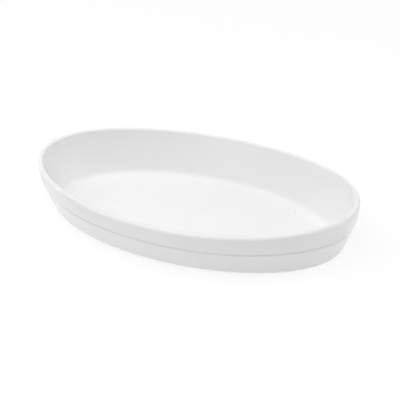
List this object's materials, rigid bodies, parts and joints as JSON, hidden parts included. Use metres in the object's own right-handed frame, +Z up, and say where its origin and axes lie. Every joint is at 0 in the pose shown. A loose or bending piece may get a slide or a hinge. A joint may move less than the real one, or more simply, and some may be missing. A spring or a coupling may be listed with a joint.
{
  "type": "oval baking dish",
  "caption": "White glazed ceramic oval baking dish with a raised band and a shallow groove under its rim, a rim that climbs to both ends, and a flat foot ring.",
  "frame": {"origin": "on the surface that the dish stands on, under the middle of the dish", "axes": "+Z up, +X along the length of the oval, +Y across it"},
  "size_m": [0.33, 0.181, 0.055],
  "materials": {
    "glaze": "smooth white gloss glaze, bare matt clay on the foot ring"
  },
  "bodies": {
    "root": {"dish": "glaze"}
  },
  "joints": []
}
